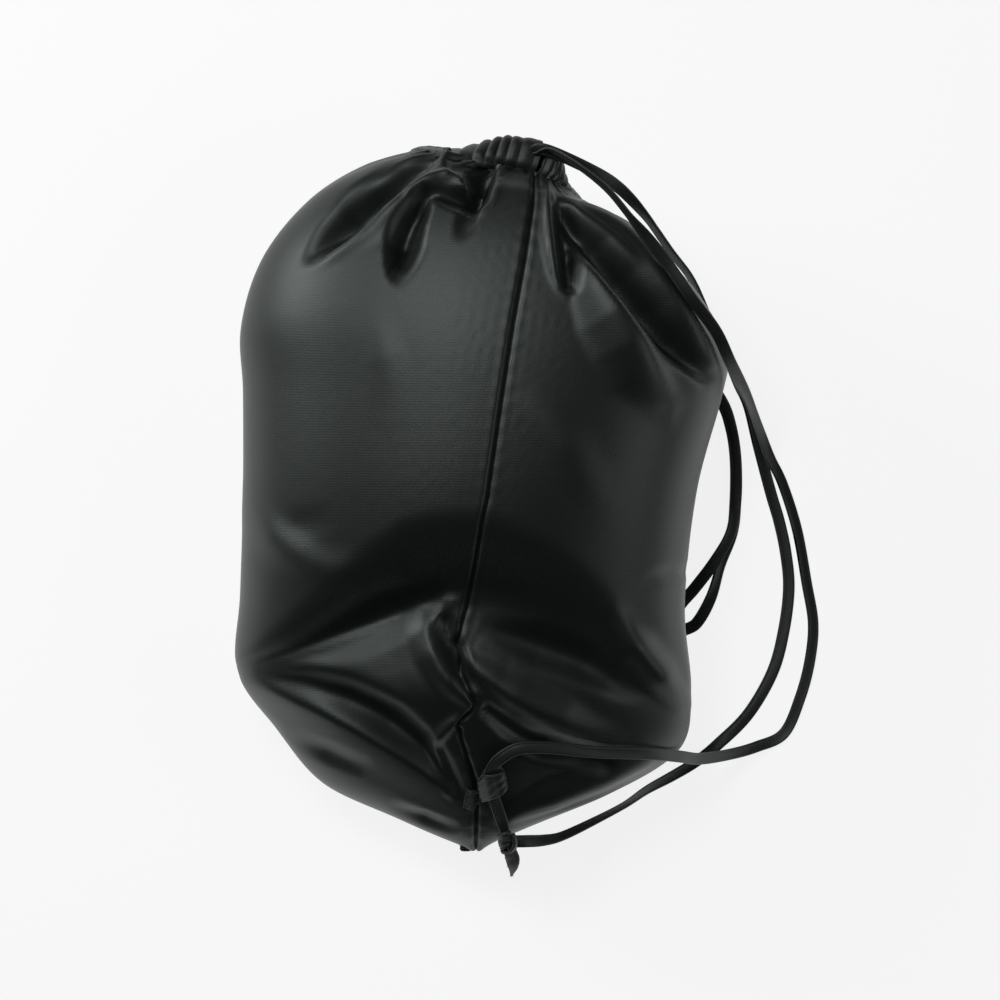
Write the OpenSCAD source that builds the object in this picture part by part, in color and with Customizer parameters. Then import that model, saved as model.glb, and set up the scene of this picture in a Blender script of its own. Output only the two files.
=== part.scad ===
// Drawstring backpack, lying on one side seam: filled, with its mouth drawn nearly shut.
// X runs from the front panel to the back panel, Y from the bottom corners to the mouth,
// and Z up from the surface that the bag lies on to the right-hand side seam.

/* [Bag] */
// Width of the filled bag, front to back
bag_w = 294; // [285:1:300]
// Length of the filled bag, bottom corner to mouth
bag_l = 436; // [425:1:445]
// Height of the filled bag as it lies, side seam to side seam
bag_h = 142; // [138:1:146]
// Thickness of the panels' cloth with its creases
wall = 2.4; // [2:0.2:3]

/* [Casing] */
// Height of the casing round the mouth
casing_h = 18; // [17:1:20]
// Thickness of the gathered casing, inside to outside
casing_t = 9; // [9:0.5:10]
// Gathers along each half of the casing
gathers = 13; // [10:1:16]

/* [Drawcords] */
// Width of the flat cord
cord_w = 8; // [7:0.5:8]
// Thickness of the flat cord
cord_t = 1.8; // [1.4:0.2:1.8]

/* [Tabs] */
// Width of the folded tab, along the side seam
tab_w = 14; // [12:0.5:15]
// Reach of the tab from the side seam
tab_reach = 18; // [17:0.5:19]
// Thickness of the tab's folded cloth
tab_t = 1.2; // [1:0.1:1.4]

/* [Hidden] */

CLOTH = "#26292a";
SHADE = "#1f2223";
CORD = "#2c2f30";
THREAD = "#3a3d3e";

GAP = 0.5;            // free space between pieces that are sewn or laid together
BLUNT = [2, 2.3];     // how square the rings are, front and back: 2 is an ellipse
STEPS_ALONG = 3;      // rings built for each row of STATIONS
STEPS_ROUND = 26;     // points round half a ring

// Every place below is given for a bag of this size, and at() carries it to the size above.
NOMINAL = [294, 436, 142];
SCALE = [bag_w / NOMINAL.x, bag_l / NOMINAL.y, bag_h / NOMINAL.z];
function at(p) = [p.x * SCALE.x, p.y * SCALE.y, p.z * SCALE.z];

// Rings round the bag, from the bottom fold to the mouth. Each row holds a ring's front side
// point, back side point, right seam point and left seam point.
STATIONS = [
    [[-16, -209, 42],  [-4, -209, 42],   [-10, -216, 62],  [-9, -204, 24]],
    [[-52, -196, 44],  [30, -199, 44],   [-5, -202, 77],   [-8, -193, 15]],
    [[-97, -176, 46],  [76, -182, 46],   [-6, -176, 92],   [-7, -176, 5]],
    [[-130, -142, 50], [116, -156, 50],  [-11, -143, 108], [-7, -144, -4]],
    [[-147, -106, 56], [124, -118, 54],  [-13, -106, 122], [-8, -106, -10]],
    [[-147, -60, 60],  [121, -66, 58],   [-9, -62, 134],   [-8, -62, -14]],
    [[-145, 0, 64],    [128, 2, 64],     [2, 0, 142],      [-4, 0, -14]],
    [[-145, 60, 64],   [143, 58, 64],    [12, 64, 142],    [2, 60, -12]],
    [[-146, 100, 66],  [146, 84, 66],    [19, 108, 138],   [6, 92, -6]],
    [[-133, 140, 68],  [131, 112, 69],   [26, 146, 130],   [10, 124, 8]],
    [[-103, 171, 72],  [103, 142, 73],   [30, 174, 119],   [12, 156, 28]],
    [[-69, 190, 76],   [76, 161, 77],    [31, 188, 110],   [13, 176, 42]],
    [[-40, 199, 79],   [58, 172, 80],    [32, 196, 104],   [14, 186, 52]]
];
LAST = len(STATIONS) - 1;

// The drawcords' routes. On the floor a cord's middle is FLAT above it.
FLAT = 1.2;
RIGHT_FRONT_ROUTE = [
    [38, 208, 108], [62, 195, 99], [80, 183, 82], [97, 167, 64], [113, 147, 44], [127, 130, 28],
    [139, 106, 14], [149, 83, 6], [156, 68, 3], [163, 54, FLAT], [169, 30, FLAT], [177, 0, FLAT],
    [182, -17, FLAT], [186, -36, FLAT], [188, -58, FLAT], [185, -84, FLAT], [178, -110, FLAT],
    [163, -136, FLAT], [144, -155, FLAT], [130, -166, 2], [116, -174, 6], [100, -182, 14],
    [86, -190, 28], [68, -198, 44], [48, -206, 60], [36, -208, 70], [25, -208, 77]
];
RIGHT_BACK_ROUTE = [
    [40, 203, 112], [56, 193, 118], [73, 178, 120], [87, 161, 121], [97, 149, 120],
    [108, 135, 117], [122, 115, 115], [137, 96, 106], [147, 77, 92], [159, 58, 58],
    [169, 38, 22], [176, 22, 9], [184, 6, 4], [193, -22, FLAT], [199, -55, FLAT],
    [203, -80, FLAT], [201, -103, FLAT], [195, -126, FLAT], [185, -148, FLAT], [168, -156, 5],
    [150, -160, 18], [131, -161, 42], [117, -158, 66], [98, -155, 87], [66, -153, 102],
    [40, -150, 110], [22, -150, 113], [13, -159, 112]
];
LEFT_FRONT_ROUTE = [
    [16, 196, 43], [40, 180, 26], [72, 150, 10], [104, 112, 3], [130, 80, FLAT], [146, 58, FLAT],
    [152, 42, FLAT], [155, 22, FLAT], [155, -4, FLAT], [153, -24, FLAT], [146, -44, FLAT],
    [140, -64, FLAT], [131, -80, FLAT], [121, -86, FLAT], [115, -98, FLAT], [117, -124, FLAT],
    [114, -134, FLAT], [107, -137, FLAT], [103, -128, FLAT], [103, -102, FLAT], [100, -92, FLAT],
    [94, -92, FLAT], [92, -104, FLAT], [92, -134, FLAT], [80, -150, FLAT], [60, -166, FLAT],
    [38, -181, 3], [25, -191, 6], [13, -198, 9]
];
LEFT_BACK_ROUTE = [
    [20, 190, 45], [42, 176, 31], [73, 148, 14], [104, 110, 7], [130, 79, 4], [146, 57, 4],
    [152, 41, 4], [155, 21, 4], [155, -4, 4], [152, -24, 4], [142, -42, 4], [130, -58, 4],
    [120, -70, 4], [117, -82, 4], [116, -130, 4], [111, -138, 4], [106, -130, 4],
    [106, -96, 4], [101, -88, 4], [96, -96, 4], [97, -140, 4], [91, -157, 2], [74, -173, FLAT],
    [54, -185, FLAT], [32, -196, FLAT], [20, -201, 2.5], [14, -204, 3.5]
];
LEFT_UNDER_TAB_ROUTE = [[8, -205, 1.5], [-6, -206, 1.5], [-20, -204, 3], [-33, -200, 5]];

function smooth(a, b, c, d, t) =
    b + 0.5 * t * ((c - a) + t * ((2 * a - 5 * b + 4 * c - d) + t * (3 * (b - c) + d - a)));
function pick(list, i) = list[max(0, min(len(list) - 1, i))];
function along(list, t) =
    let (i = min(floor(t), len(list) - 2))
    smooth(pick(list, i - 1), pick(list, i), pick(list, i + 1), pick(list, i + 2), t - i);
function unit(v) = v / norm(v);
function lift(p, low) = [p.x, p.y, max(p.z, low)];
function turned(loop) = [for (k = [len(loop) - 1 : -1 : 0]) loop[k]];

// A point on the bag: side is -1 on the front panel and 1 on the back panel, row is the place
// along STATIONS, round goes from 0 at the right seam to 1 at the left seam, and inset is the
// distance inside the outer face.
function skin(side, row, round, inset = 0) =
    let (
        s = along(STATIONS, row),
        edge = side < 0 ? s[0] : s[1],
        middle = [s[2].x, (s[0].y + s[1].y) / 2, (s[0].z + s[1].z) / 2],
        seam = round < 0.5 ? s[2] : s[3],
        out = edge - middle,
        up = seam - middle,
        power = 2 / (side < 0 ? BLUNT[0] : BLUNT[1]),
        a = pow(sin(180 * round), power),
        b = pow(abs(cos(180 * round)), power),
        keep_out = max(0.3, 1 - inset / norm(out)),
        keep_up = max(0.3, 1 - inset / norm(up)),
        p = middle + a * keep_out * out + b * keep_up * up
    )
    lift(at(p) + [side * GAP / 2, 0, 0], inset);

function quad(a, b, c, d) = [[a, c, b], [a, d, c]];

// A sheet with thickness, between two grids of points.
module thick_sheet(outer, inner) {
    rows = len(outer);
    cols = len(outer[0]);
    function o(i, j) = i * cols + j;
    function n(i, j) = (rows + i) * cols + j;
    faces = [
        for (i = [0 : rows - 2], j = [0 : cols - 2])
            each concat(
                quad(o(i, j), o(i + 1, j), o(i + 1, j + 1), o(i, j + 1)),
                quad(n(i, j), n(i, j + 1), n(i + 1, j + 1), n(i + 1, j))
            ),
        for (i = [0 : rows - 2])
            each concat(
                quad(o(i, 0), n(i, 0), n(i + 1, 0), o(i + 1, 0)),
                quad(o(i, cols - 1), o(i + 1, cols - 1), n(i + 1, cols - 1), n(i, cols - 1))
            ),
        for (j = [0 : cols - 2])
            each concat(
                quad(o(0, j), o(0, j + 1), n(0, j + 1), n(0, j)),
                quad(o(rows - 1, j), n(rows - 1, j), n(rows - 1, j + 1), o(rows - 1, j + 1))
            )
    ];
    polyhedron(concat([for (r = outer) each r], [for (r = inner) each r]), faces, convexity = 8);
}

// A solid through a row of closed loops, with both ends closed.
module swept(loops) {
    rows = len(loops);
    cols = len(loops[0]);
    function o(i, j) = i * cols + j % cols;
    faces = [
        for (i = [0 : rows - 2], j = [0 : cols - 1])
            each quad(o(i, j), o(i, j + 1), o(i + 1, j + 1), o(i + 1, j)),
        for (j = [1 : cols - 2])
            each [
                [o(0, 0), o(0, j), o(0, j + 1)],
                [o(rows - 1, 0), o(rows - 1, j + 1), o(rows - 1, j)]
            ]
    ];
    polyhedron([for (l = loops) each l], faces, convexity = 8);
}

// A tunnel between outer and inner closed loops, open at both ends.
module tunnel(outer, inner) {
    rows = len(outer);
    cols = len(outer[0]);
    function o(i, j) = i * cols + j % cols;
    function n(i, j) = (rows + i) * cols + j % cols;
    faces = [
        for (i = [0 : rows - 2], j = [0 : cols - 1])
            each concat(
                quad(o(i, j), o(i, j + 1), o(i + 1, j + 1), o(i + 1, j)),
                quad(n(i, j), n(i + 1, j), n(i + 1, j + 1), n(i, j + 1))
            ),
        for (j = [0 : cols - 1])
            each concat(
                quad(o(0, j), n(0, j), n(0, j + 1), o(0, j + 1)),
                quad(o(rows - 1, j), o(rows - 1, j + 1), n(rows - 1, j + 1), n(rows - 1, j))
            )
    ];
    polyhedron(concat([for (l = outer) each l], [for (l = inner) each l]), faces, convexity = 8);
}

// ---- Flat cords ----

// An eight-sided flat section round a middle, w along across and t along over.
function flat_loop(middle, across, over, w, t) = [
    for (c = [[0.5, 0.2], [0.4, 0.5], [-0.4, 0.5], [-0.5, 0.2],
              [-0.5, -0.2], [-0.4, -0.5], [0.4, -0.5], [0.5, -0.2]])
        middle + across * w * c.x + over * t * c.y
];

// The direction of a route at one of its points, halfway between the stretches that meet there.
function heading(path, i) =
    let (
        back = i > 0 ? unit(path[i] - path[i - 1]) : unit(path[1] - path[0]),
        on = i < len(path) - 1 ? unit(path[i + 1] - path[i]) : back
    )
    unit(back + on);

// A flat cord along a route, lying with its width level, or its width along upright.
module flat_cord(path, upright = undef) {
    swept([
        for (i = [0 : len(path) - 1])
            let (
                go = heading(path, i),
                across = is_undef(upright) ? unit(cross([0, 0, 1], go)) : upright,
                over = unit(cross(go, across))
            )
            flat_loop(path[i], across, over, cord_w, cord_t)
    ]);
}

// ---- The two panels, cut alike and sewn along both sides and the bottom ----

module panel(side) {
    rows = [for (k = [0 : LAST * STEPS_ALONG]) k / STEPS_ALONG];
    rounds = [for (k = [0 : STEPS_ROUND]) (side < 0 ? k : STEPS_ROUND - k) / STEPS_ROUND];
    thick_sheet(
        [for (r = rows) [for (a = rounds) skin(side, r, a)]],
        [for (r = rows) [for (a = rounds) skin(side, r, a, wall)]]
    );
}

module front_panel() { color(CLOTH) panel(-1); }
module back_panel() { color(CLOTH) panel(1); }

// ---- The casing, a tunnel of gathered cloth on each panel's top edge ----

CASING_WALL = 1.6;
SLIT_HALF = 0.03;         // each casing's end, as a part of half a ring from the seam
MOUTH = STATIONS[LAST];
MOUTH_AXIS = unit(cross(at(MOUTH[2] - MOUTH[3]), at(MOUTH[1] - MOUTH[0])));
CASING_STEPS = 4 * gathers;

// A point of the casing: raise is how far past the panel's edge it is.
function hem(side, round, inset, raise) = skin(side, LAST, round, inset) + MOUTH_AXIS * raise;
function hem_loop(side, round, out, in, low, high) = [
    hem(side, round, out + 1, low), hem(side, round, out, low + 2),
    hem(side, round, out, high - 2), hem(side, round, out + 1, high),
    hem(side, round, in - 1, high), hem(side, round, in, high - 2),
    hem(side, round, in, low + 2), hem(side, round, in - 1, low)
];

module casing(side) {
    low = GAP;
    high = GAP + casing_h;
    steps = [for (k = [0 : CASING_STEPS]) k / CASING_STEPS];
    function ring(k) = SLIT_HALF + (1 - 2 * SLIT_HALF) * k;
    function pleat(k) = -0.7 + 0.7 * cos(360 * gathers * k);
    outer = [for (k = steps) hem_loop(side, ring(k), pleat(k), casing_t, low, high)];
    inner = [
        for (k = steps)
            hem_loop(side, ring(k), CASING_WALL, casing_t - CASING_WALL,
                low + CASING_WALL, high - CASING_WALL)
    ];
    if (side < 0) tunnel([for (l = outer) turned(l)], [for (l = inner) turned(l)]);
    else tunnel(outer, inner);
}

module front_casing() { color(SHADE) casing(-1); }
module back_casing() { color(SHADE) casing(1); }

// ---- Seams, inside the bag ----

SEAM_W = 7;
SEAM_T = 1.4;

// The seam allowance of one side, lying inside along the join of the panels.
module side_seam(round, last_row) {
    inset = wall + GAP + 0.8 + SEAM_T / 2;
    rows = [for (k = [STEPS_ALONG : last_row * STEPS_ALONG]) k / STEPS_ALONG];
    swept([
        for (r = rows)
            let (
                a = skin(-1, r, round, inset),
                b = skin(1, r, round, inset),
                before = skin(1, r - 0.1, round, inset),
                after = skin(1, r + 0.1, round, inset),
                over = unit(cross([1, 0, 0], after - before))
            )
            flat_loop((a + b) / 2, [1, 0, 0], over, SEAM_W, SEAM_T)
    ]);
}

module right_side_seam() { color(SHADE) side_seam(0, LAST - 1); }
module left_side_seam() { color(SHADE) side_seam(1, LAST - 1); }

// The bottom seam closes the end of the bag between its two bottom corners.
module bottom_seam() {
    color(SHADE) {
        fold = STATIONS[0];
        top = at(fold[2]);
        low = at(fold[3]);
        middle = [(fold[0].x + fold[1].x) / 2, fold[0].y, fold[0].z];
        drop = unit(top - low);
        swept([
            for (p = [top - drop * 2, at(middle), low + drop * 2])
                flat_loop(p + [0, -GAP - 3.6, -0.6], [1, 0, 0], unit(cross([1, 0, 0], drop)), 11, 4)
        ]);
    }
}

// ---- Tabs: loops of folded cloth that hold the drawcords' lower ends ----

TAB_SLOPE = 30;       // the seams' slope at the tabs
TAB_TURN = 10;        // the right tab's turn from square to its seam
EYE_H = 6.6;          // height of a tab's eye
EYE_MID = tab_reach - tab_t - EYE_H / 2;
RIGHT_TAB_AT = [-3, -174, 94];
LEFT_TAB_AT = [-1, -186, 10];
LEAD = 28;            // free cord between a tab and its knot
KNOT = [12, 12, 9];   // size of a pulled knot

// The right tab lies on the back panel. The left one hangs under the bag, turned towards the
// bottom, because its cord pulls it sideways.
module in_right_tab() {
    translate(at(RIGHT_TAB_AT)) rotate([TAB_SLOPE, 0, 0]) rotate([0, 0, TAB_TURN]) children();
}
module in_left_tab() {
    translate(at(LEFT_TAB_AT)) rotate([180 - TAB_SLOPE, 0, 0]) rotate([0, 0, 90])
        mirror([0, 1, 0]) children();
}

module tab_outline(grow) {
    offset(r = grow) hull() {
        translate([3, tab_t + 0.4]) circle(r = 0.4, $fn = 24);
        translate([EYE_MID, tab_t + EYE_H / 2]) circle(d = EYE_H, $fn = 32);
    }
}

module tab() {
    rotate([90, 0, 0]) linear_extrude(tab_w, center = true) difference() {
        tab_outline(tab_t);
        tab_outline(0);
    }
}

// The stitching that holds a tab down: a close zig-zag on the cloth beside the seam.
BARTACK = [2.4, 0.7, 14];     // width, thickness and length
module bartack() {
    linear_extrude(BARTACK[1]) polygon([
        for (k = [0 : 8]) [-BARTACK[0] + (k % 2) * BARTACK[0] * 0.5, (k / 8 - 0.5) * BARTACK[2]],
        for (k = [8 : -1 : 0]) [(k % 2) * BARTACK[0] * 0.5, (k / 8 - 0.5) * BARTACK[2]]
    ]);
}

// The cord through a tab's eye and down to the knot, as it lies in the tab's own place.
module knot() {
    x = EYE_MID - 0.9;
    z = tab_t + EYE_H / 2;
    flat_cord([for (y = [tab_w / 2 + 2, 0, -tab_w / 2, -tab_w / 2 - LEAD]) [x, y, z]]);
    translate([x, -tab_w / 2 - LEAD, z]) scale(KNOT / KNOT.x) sphere(d = KNOT.x, $fn = 24);
}

module right_tab() { color(SHADE) in_right_tab() tab(); }
module right_tab_stitching() {
    color(THREAD) in_right_tab() translate([-6, -9, 0.9]) rotate([0, 0, -22]) bartack();
}
module right_knot() { color(CORD) in_right_tab() knot(); }
module right_cord_tails() {
    color(CORD) {
        flat_cord([for (p = [[17, -217, 75], [18, -223, 69], [18, -230, 60]]) at(p)]);
        flat_cord([for (p = [[12, -215, 70], [11, -220, 62], [10, -224, 53]]) at(p)]);
    }
}
module left_tab() { color(SHADE) in_left_tab() tab(); }
module left_tab_stitching() {
    color(THREAD) in_left_tab() translate([-1.2, 0, 0]) bartack();
}
module left_knot() { color(CORD) in_left_tab() knot(); }
module left_cord_tails() {
    color(CORD) flat_cord([for (p = [[-43, -197, 12], [-50, -193, 8], [-58, -188, 4]]) at(p)]);
}

// ---- The drawcords ----

// How far in from the casing's outer face each cord lies: the right one outside the left one.
RUN_OUTER = CASING_WALL + 0.65 + cord_t / 2;
RUN_INNER = casing_t - CASING_WALL - 0.65 - cord_t / 2;
RUN_STEPS = 20;
module casing_run(round_from, inset) {
    raise = GAP + casing_h / 2;
    function place(side, k) =
        hem(side, abs(round_from - k), inset, raise);
    way = [
        for (k = [0 : RUN_STEPS]) place(-1, 0.02 + 0.98 * k / RUN_STEPS),
        for (k = [RUN_STEPS - 1 : -1 : 0]) place(1, 0.02 + 0.98 * k / RUN_STEPS)
    ];
    flat_cord(way, MOUTH_AXIS);
}
module right_cord_casing_run() { color(CORD) casing_run(0, RUN_OUTER); }
module left_cord_casing_run() { color(CORD) casing_run(1, RUN_INNER); }

module right_cord_front_strand() { color(CORD) flat_cord([for (p = RIGHT_FRONT_ROUTE) at(p)]); }
module right_cord_back_strand() { color(CORD) flat_cord([for (p = RIGHT_BACK_ROUTE) at(p)]); }
module left_cord_front_strand() { color(CORD) flat_cord([for (p = LEFT_FRONT_ROUTE) at(p)]); }
module left_cord_back_strand() { color(CORD) flat_cord([for (p = LEFT_BACK_ROUTE) at(p)]); }

// The left cord's last stretch lies under its tab and doesn't swing with the strap.
module left_cord_under_tab() { color(CORD) flat_cord([for (p = LEFT_UNDER_TAB_ROUTE) at(p)]); }

front_panel();
back_panel();
front_casing();
back_casing();
right_side_seam();
left_side_seam();
bottom_seam();
right_tab();
left_tab();
right_tab_stitching();
left_tab_stitching();
right_cord_casing_run();
left_cord_casing_run();
right_cord_front_strand();
right_cord_back_strand();
right_knot();
right_cord_tails();
left_cord_front_strand();
left_cord_back_strand();
left_cord_under_tab();
left_knot();
left_cord_tails();
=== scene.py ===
import math
import random

import bmesh
import bpy
import numpy as np
from mathutils import Matrix, Vector
from mathutils.kdtree import KDTree


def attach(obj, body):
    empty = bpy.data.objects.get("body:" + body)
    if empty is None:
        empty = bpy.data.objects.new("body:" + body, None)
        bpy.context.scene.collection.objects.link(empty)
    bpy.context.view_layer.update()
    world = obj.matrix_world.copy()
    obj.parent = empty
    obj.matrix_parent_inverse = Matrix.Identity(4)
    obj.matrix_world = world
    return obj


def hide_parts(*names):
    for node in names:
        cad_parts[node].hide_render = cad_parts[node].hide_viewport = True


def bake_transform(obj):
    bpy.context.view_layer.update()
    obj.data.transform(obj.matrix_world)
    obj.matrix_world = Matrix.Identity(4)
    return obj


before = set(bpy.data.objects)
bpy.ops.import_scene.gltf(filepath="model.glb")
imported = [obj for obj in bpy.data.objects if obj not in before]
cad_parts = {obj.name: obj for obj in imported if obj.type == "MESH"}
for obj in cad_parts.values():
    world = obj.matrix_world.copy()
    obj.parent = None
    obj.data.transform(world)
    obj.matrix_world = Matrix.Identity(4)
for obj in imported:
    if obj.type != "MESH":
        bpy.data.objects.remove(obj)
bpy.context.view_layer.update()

# The scene is in metres, in the CAD model's frame: +Y is the mouth's end of the bag, and +Z is
# up from the surface that it lies on. Shapes are worked out in millimetres, and MM turns them
# to metres.
MM = 0.001


# ---- Camera ----

scene = bpy.context.scene
CAMERA_UP = 2.4  # metres above the surface
FIELD = 0.6  # width of the view at the bag's middle height
MIDDLE_HEIGHT = 0.07  # of the bag as it lies
VIEW_MIDDLE = (0.0096, -0.0039)  # on the surface, straight below the camera


def add_camera():
    data = bpy.data.cameras.new("camera")
    data.sensor_width = 36.0
    data.lens = data.sensor_width * (CAMERA_UP - MIDDLE_HEIGHT) / FIELD
    cam = bpy.data.objects.new("camera", data)
    cam.location = (*VIEW_MIDDLE, CAMERA_UP)
    scene.collection.objects.link(cam)
    scene.camera = cam


add_camera()


# ---- Small helpers ----


def smooth_step(t):
    t = np.clip(t, 0.0, 1.0)
    return t * t * (3.0 - 2.0 * t)


def unit(v):
    v = np.asarray(v, float)
    return v / np.maximum(np.linalg.norm(v, axis=-1, keepdims=True), 1e-12)


def eased(a, b, c, d, t):
    """What lies between b and c, at t from 0 to 1, where a comes before them and d after."""
    return b + 0.5 * t * ((c - a) + t * ((2 * a - 5 * b + 4 * c - d) + t * (3 * (b - c) + d - a)))


def curve_through(points, step):
    """A smooth line through the points, as evenly spaced points about step apart."""
    p = np.asarray(points, float)
    p = np.vstack([2 * p[0] - p[1], p, 2 * p[-1] - p[-2]])
    dense = []
    for four in zip(p, p[1:], p[2:], p[3:]):
        dense.extend(eased(*four, t) for t in np.linspace(0.0, 1.0, 24, endpoint=False))
    dense.append(p[-2])
    return spread_evenly(np.array(dense), step=step)


def spread_evenly(line, step=None, count=None):
    """The same line with its points at equal distances."""
    line = np.asarray(line, float)
    along = np.concatenate([[0.0], np.cumsum(np.linalg.norm(np.diff(line, axis=0), axis=1))])
    count = count or max(2, int(round(along[-1] / step)) + 1)
    wanted = np.linspace(0.0, along[-1], count)
    return np.stack([np.interp(wanted, along, line[:, k]) for k in range(line.shape[1])], axis=1)


def even_shares(count):
    return np.linspace(0.0, 1.0, count)


def headings(line):
    """Which way a line runs at each of its points."""
    return unit(np.gradient(line, axis=0))


def keep_above(points, height):
    """Brings whatever is lower than height up to it."""
    points[..., 2] = np.maximum(points[..., 2], height)


def add_mesh(name, points, faces, material):
    mesh = bpy.data.meshes.new(name)
    mesh.from_pydata([tuple(p) for p in np.reshape(points, (-1, 3))], [], faces)
    mesh.validate()
    obj = bpy.data.objects.new(name, mesh)
    scene.collection.objects.link(obj)
    mesh.materials.append(material)
    mesh.polygons.foreach_set("use_smooth", [True] * len(mesh.polygons))
    return obj


def grid_faces(rows, cols, closed=False, flip=False):
    faces = []
    for i in range(rows - 1):
        for j in range(cols if closed else cols - 1):
            k = (j + 1) % cols
            face = (i * cols + j, i * cols + k, (i + 1) * cols + k, (i + 1) * cols + j)
            faces.append(face[::-1] if flip else face)
    return faces


def sweep(middles, across, over, section):
    """Points of a closed section carried along middles. across and over may differ along it."""
    middles = np.asarray(middles, float)
    across = np.broadcast_to(np.asarray(across, float), middles.shape)
    over = np.broadcast_to(np.asarray(over, float), middles.shape)
    section = np.asarray(section, float)
    if section.ndim == 2:
        section = np.broadcast_to(section, (len(middles),) + section.shape)
    return middles[:, None] + across[:, None] * section[..., :1] + over[:, None] * section[..., 1:]


def tube_faces(rows, cols):
    """Faces of a tube through rows of closed loops, with a cap at each end."""
    faces = grid_faces(rows, cols, closed=True)
    faces.append(tuple(range(cols))[::-1])
    faces.append(tuple((rows - 1) * cols + j for j in range(cols)))
    return faces


def thicken(obj, thickness):
    """Gives a cloth its thickness, below the side that it shows."""
    modifier = obj.modifiers.new("thickness", "SOLIDIFY")
    modifier.thickness = thickness
    modifier.offset = -1.0


# ---- Materials ----


def set_inputs(node, values):
    for socket, value in values.items():
        node.inputs[socket].default_value = value


def cloth_material(name, dark, light, ribs, roughness, sheen):
    """Satin-faced nylon: a fine rib across the cloth, faint tone changes and a fine grain."""
    mat = bpy.data.materials.new(name)
    mat.use_nodes = True
    nodes, links = mat.node_tree.nodes, mat.node_tree.links
    shader = nodes["Principled BSDF"]
    place = nodes.new("ShaderNodeTexCoord").outputs["Object"]

    tone = nodes.new("ShaderNodeTexNoise")
    set_inputs(tone, {"Scale": 9.0, "Detail": 4.0})
    rib = nodes.new("ShaderNodeTexWave")
    rib.wave_type = "BANDS"
    rib.bands_direction = "Y"
    set_inputs(rib, {"Scale": ribs, "Distortion": 0.6, "Detail": 2.0})
    grain = nodes.new("ShaderNodeTexNoise")
    set_inputs(grain, {"Scale": 1400.0, "Detail": 2.0})
    for texture in (tone, rib, grain):
        links.new(place, texture.inputs["Vector"])

    colours = nodes.new("ShaderNodeMix")
    colours.data_type = "RGBA"
    set_inputs(colours, {6: (*dark, 1.0), 7: (*light, 1.0)})
    links.new(tone.outputs["Fac"], colours.inputs[0])
    fleck = nodes.new("ShaderNodeMix")
    fleck.data_type = "RGBA"
    fleck.blend_type = "MULTIPLY"
    set_inputs(fleck, {0: 0.35})
    links.new(colours.outputs[2], fleck.inputs[6])
    links.new(grain.outputs["Fac"], fleck.inputs[7])
    links.new(fleck.outputs[2], shader.inputs["Base Color"])

    ribbed = nodes.new("ShaderNodeBump")
    set_inputs(ribbed, {"Strength": 0.11, "Distance": 0.2 * MM})
    links.new(rib.outputs["Fac"], ribbed.inputs["Height"])
    fine = nodes.new("ShaderNodeBump")
    set_inputs(fine, {"Strength": 0.30, "Distance": 0.2 * MM})
    links.new(grain.outputs["Fac"], fine.inputs["Height"])
    links.new(ribbed.outputs["Normal"], fine.inputs["Normal"])
    links.new(fine.outputs["Normal"], shader.inputs["Normal"])

    set_inputs(shader, {
        "Roughness": roughness,
        "Specular IOR Level": 0.8,
        "Specular Tint": (0.90, 1.0, 0.97, 1.0),
        "Sheen Weight": sheen,
        "Sheen Roughness": 0.45,
        "Sheen Tint": (0.75, 0.85, 0.82, 1.0),
    })
    return mat


PANEL_CLOTH = cloth_material("panel_cloth", (0.004, 0.0055, 0.0055), (0.008, 0.010, 0.010), 330.0, 0.45, 0.05)
EDGE_CLOTH = cloth_material("edge_cloth", (0.004, 0.005, 0.005), (0.008, 0.009, 0.009), 330.0, 0.52, 0.06)
CORD_CLOTH = cloth_material("cord_cloth", (0.006, 0.007, 0.0065), (0.012, 0.014, 0.013), 500.0, 0.50, 0.08)
THREAD = cloth_material("thread", (0.020, 0.024, 0.023), (0.040, 0.046, 0.044), 2500.0, 0.5, 0.15)


# ---- Cords ----

FLAT = 1.2  # height of a cord's middle where it lies flat
CORD_W = 7.4 * MM
CORD_T = 1.7 * MM
CORD_LOWEST = 0.2  # millimetres above the surface, for a cord that is turned on its edge

# The routes are those of part.scad, in millimetres, led on a little into the casing and the tab.
RIGHT_FRONT_ROUTE = [
    (28, 201, 101), (36, 203, 107), (62, 192.5, 99), (80, 183, 82), (97, 167, 64), (113, 147, 44),
    (127, 130, 28),
    (139, 106, 14), (149, 83, 6), (156, 68, 3), (163, 54, FLAT), (169, 30, FLAT), (177, 0, FLAT),
    (182, -17, FLAT), (186, -36, FLAT), (188, -58, FLAT), (185, -84, FLAT), (178, -110, FLAT),
    (163, -136, FLAT), (144, -155, FLAT), (130, -166, 2), (116, -174, 6), (100, -182, 14),
    (86, -190, 28), (68, -198, 44), (48, -206, 60), (36, -208, 70), (25, -208, 77), (17, -208, 78),
]
RIGHT_BACK_ROUTE = [
    (31, 200.5, 103), (40, 202, 110), (56, 192, 118), (73, 178, 120), (87, 161, 121), (97, 149, 120),
    (108, 135, 117), (122, 115, 115), (137, 96, 106), (147, 77, 92), (159, 58, 58),
    (169, 38, 22), (176, 22, 9), (184, 6, 4), (193, -22, FLAT), (199, -55, FLAT),
    (203, -80, FLAT), (201, -103, FLAT), (195, -126, FLAT), (185, -148, FLAT), (168, -156, 5),
    (150, -160, 18), (131, -161, 42), (117, -158, 66), (98, -155, 87), (66, -153, 102),
    (40, -150, 110), (22, -150, 113), (13, -154, 112), (7, -159, 110), (4, -165, 106), (4, -170, 102),
]
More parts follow.
